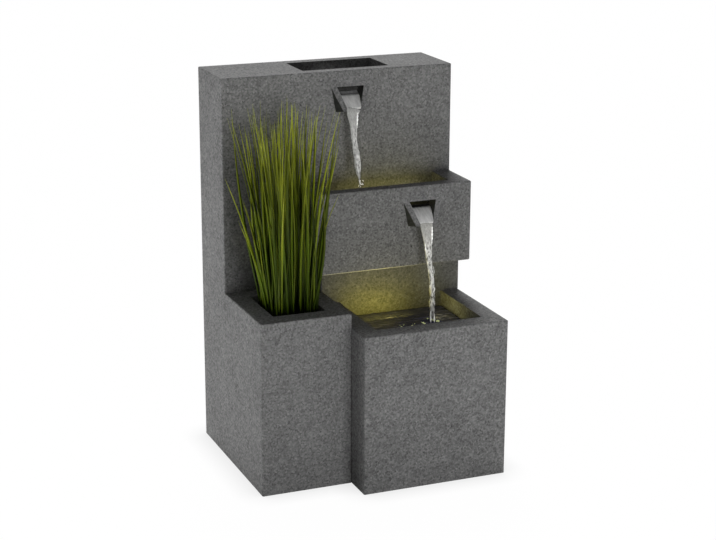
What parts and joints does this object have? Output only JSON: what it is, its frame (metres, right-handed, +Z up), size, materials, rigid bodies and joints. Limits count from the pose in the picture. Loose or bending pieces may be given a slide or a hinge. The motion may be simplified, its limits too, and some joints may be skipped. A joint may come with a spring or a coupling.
{
  "type": "garden wall fountain",
  "caption": "Two-step cascade fountain of square stone-look blocks with a lit middle pool, a lit basin, twin spouts and a planter with grass.",
  "frame": {"origin": "centre of the footprint (tower, basin and planter together) at floor level", "axes": "+Z up, -Y to the front where the water falls, +X to the right-hand side seen from the front"},
  "size_m": [0.5331, 0.44, 0.8],
  "materials": {
    "black_plastic": "fine texture",
    "ceramic_shaft": "ground",
    "clear_hose": "soft clear PVC, slightly milky",
    "grass": "satin leaves",
    "grey_plastic": "fine texture",
    "lamp_board": "white board with diodes",
    "lamp_lens": "clear warm lens",
    "magnet": "ferrite",
    "pot_plastic": "satin",
    "rubber": "matt",
    "soil": "loose compost",
    "stainless": "brushed",
    "stone_resin": "matt dark grey stone look with a fine speckle",
    "white_plastic": "moulded"
  },
  "bodies": {
    "fountain": {"tower_shell": "stone_resin", "back_panel": "stone_resin", "planter_box": "stone_resin", "basin_tub": "stone_resin", "basin_liner": "stone_resin", "wall_block": "stone_resin", "cascade_block": "stone_resin", "top_tray": "stone_resin", "upper_spout": "stone_resin", "lower_spout": "stone_resin", "body_bolts": "stainless", "body_nuts": "stainless", "door_frame": "grey_plastic", "door_gasket": "rubber", "hinge_pin": "stainless", "pump_housing": "black_plastic", "pump_feet": "rubber", "impeller_cover": "black_plastic", "rotor_shaft": "ceramic_shaft", "shaft_bushes": "rubber", "outlet_elbow": "rubber", "bulkhead_fitting": "black_plastic", "bulkhead_seals": "rubber", "bulkhead_nut": "black_plastic", "riser_hose": "clear_hose", "tray_inlet": "black_plastic", "inlet_nut": "black_plastic", "hose_clamps": "stainless", "hose_clips": "black_plastic", "cable_grommet": "rubber", "basin_light_housing": "black_plastic", "basin_light_board": "lamp_board", "basin_light_lens": "lamp_lens", "light_bracket": "stainless", "light_nut": "black_plastic", "bracket_screw": "stainless", "pool_light_housing": "black_plastic", "pool_light_board": "lamp_board", "pool_light_lens": "lamp_lens", "pool_light_foot": "rubber"},
    "door": {"rear_door": "grey_plastic"},
    "latch": {"latch_knob": "grey_plastic", "latch_cam": "stainless"},
    "rotor": {"impeller": "white_plastic", "rotor_magnet": "magnet"},
    "strainer": {"strainer_cover": "black_plastic"},
    "dial": {"flow_dial": "black_plastic"},
    "plug": {"drain_plug": "rubber"},
    "planting": {"plant_pot": "pot_plastic", "potting_soil": "soil", "grass_tuft": "grass"}
  },
  "joints": [
    {"name": "door_swing", "type": "hinge", "parent": "fountain", "child": "door", "pos_m": [-0.0466, 0.2174, 0.19], "axis": [0, 0, 1], "range_deg": [0, 90]},
    {"name": "latch_turn", "type": "hinge", "parent": "door", "child": "latch", "pos_m": [0.1212, 0.22, 0.19], "axis": [0, 1, 0], "range_deg": [0, 90]},
    {"name": "rotor_spin", "type": "hinge", "parent": "fountain", "child": "rotor", "pos_m": [0.088, 0.008, 0.04], "axis": [1, 0, 0], "continuous": true},
    {"name": "strainer_pull", "type": "slide", "parent": "fountain", "child": "strainer", "axis": [-1, 0, 0], "range_m": [0, 0.036]},
    {"name": "dial_turn", "type": "hinge", "parent": "strainer", "child": "dial", "pos_m": [0.0367, 0.008, 0.054], "axis": [-1, 0, 0], "range_deg": [0, 90]},
    {"name": "plug_pull", "type": "slide", "parent": "fountain", "child": "plug", "axis": [0, 1, 0], "range_m": [0, 0.04]},
    {"name": "pot_lift", "type": "slide", "parent": "fountain", "child": "planting", "axis": [0, 0, 1], "range_m": [0, 0.26]}
  ]
}
